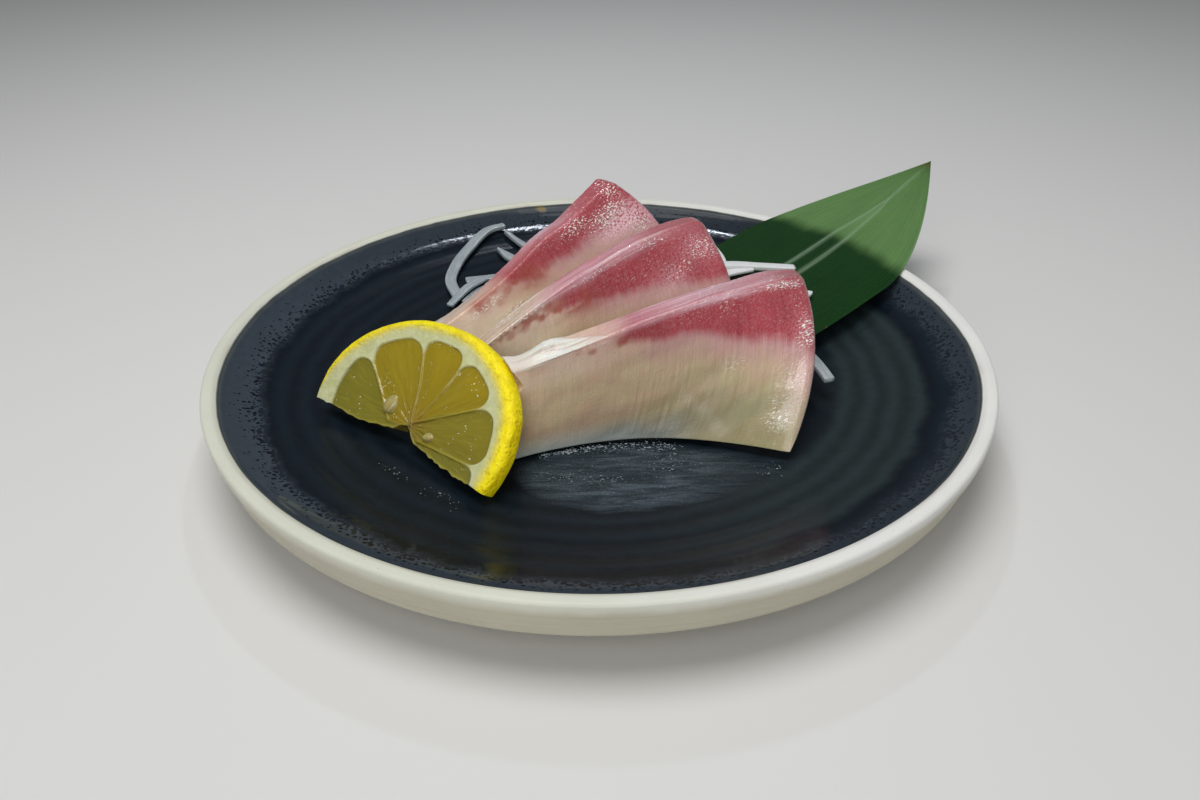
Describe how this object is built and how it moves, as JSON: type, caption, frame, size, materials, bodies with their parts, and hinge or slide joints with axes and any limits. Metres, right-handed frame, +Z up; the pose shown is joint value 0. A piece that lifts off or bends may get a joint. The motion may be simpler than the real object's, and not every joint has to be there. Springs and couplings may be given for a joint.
{
  "type": "sashimi plate",
  "caption": "Round low-walled stoneware plate with fanned slices of raw fish leaning on shredded radish, a cut lemon slice in front and a pointed leaf over the rim.",
  "frame": {"origin": "middle of the plate's flat foot, on the surface that the plate stands on", "axes": "+Z up out of the plate, +X to the diner's right, +Y away from the diner towards the leaf's side"},
  "size_m": [0.2119, 0.2, 0.0483],
  "materials": {
    "stoneware": "gloss",
    "raw_fish": "satin",
    "lemon": "satin",
    "leaf": "satin",
    "daikon": "satin"
  },
  "bodies": {
    "root": {"plate": "stoneware", "sashimi_slice_front": "raw_fish", "sashimi_slice_middle": "raw_fish", "sashimi_slice_back": "raw_fish", "lemon_slice": "lemon", "bamboo_leaf": "leaf", "daikon_heap": "daikon", "daikon_strand_curl": "daikon", "daikon_strand_short": "daikon", "daikon_strand_pointed": "daikon", "daikon_strand_on_leaf": "daikon", "daikon_strand_right": "daikon"}
  },
  "joints": []
}
